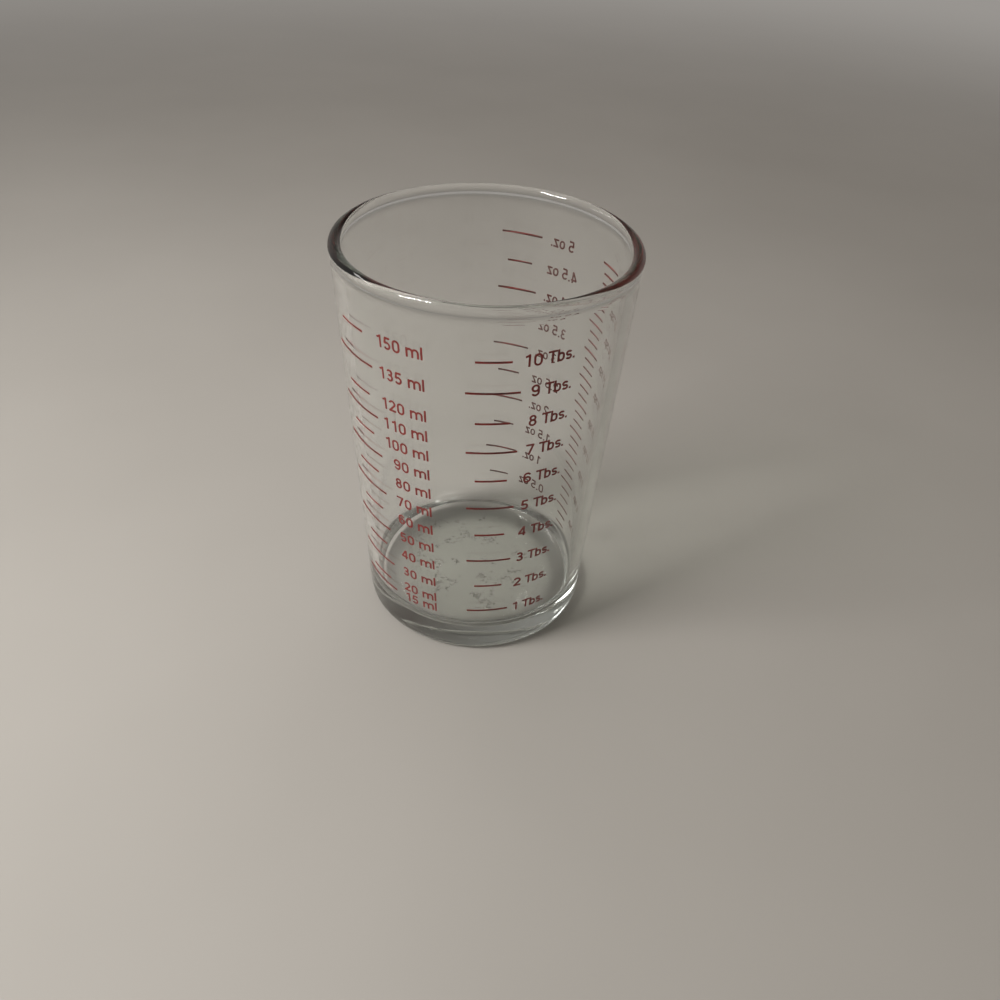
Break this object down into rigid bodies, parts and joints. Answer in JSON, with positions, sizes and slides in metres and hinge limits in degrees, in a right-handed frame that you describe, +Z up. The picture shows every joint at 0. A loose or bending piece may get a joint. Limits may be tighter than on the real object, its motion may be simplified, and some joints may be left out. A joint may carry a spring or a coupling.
{
  "type": "measuring cup",
  "caption": "Small tapered clear-glass measuring tumbler with fire-polished rim, thick base and fired enamel volume scales round its outside.",
  "frame": {"origin": "centre of the ring that the glass stands on, at the level of the table", "axes": "+Z up along the axis of the glass; -Y through the front, just left of the middle of the tablespoon lines; +X towards the teaspoon scale"},
  "size_m": [0.06, 0.06, 0.088],
  "materials": {
    "clear_glass": "polished clear soda-lime glass with a faint grey-green tint",
    "fired_enamel": "satin brick-red fired ceramic enamel"
  },
  "bodies": {
    "root": {"glass_tumbler": "clear_glass", "tablespoon_lines": "fired_enamel", "tablespoon_numerals": "fired_enamel", "millilitre_lines": "fired_enamel", "millilitre_numerals": "fired_enamel", "ounce_lines": "fired_enamel", "ounce_numerals": "fired_enamel", "teaspoon_lines": "fired_enamel", "teaspoon_numerals": "fired_enamel"}
  },
  "joints": []
}
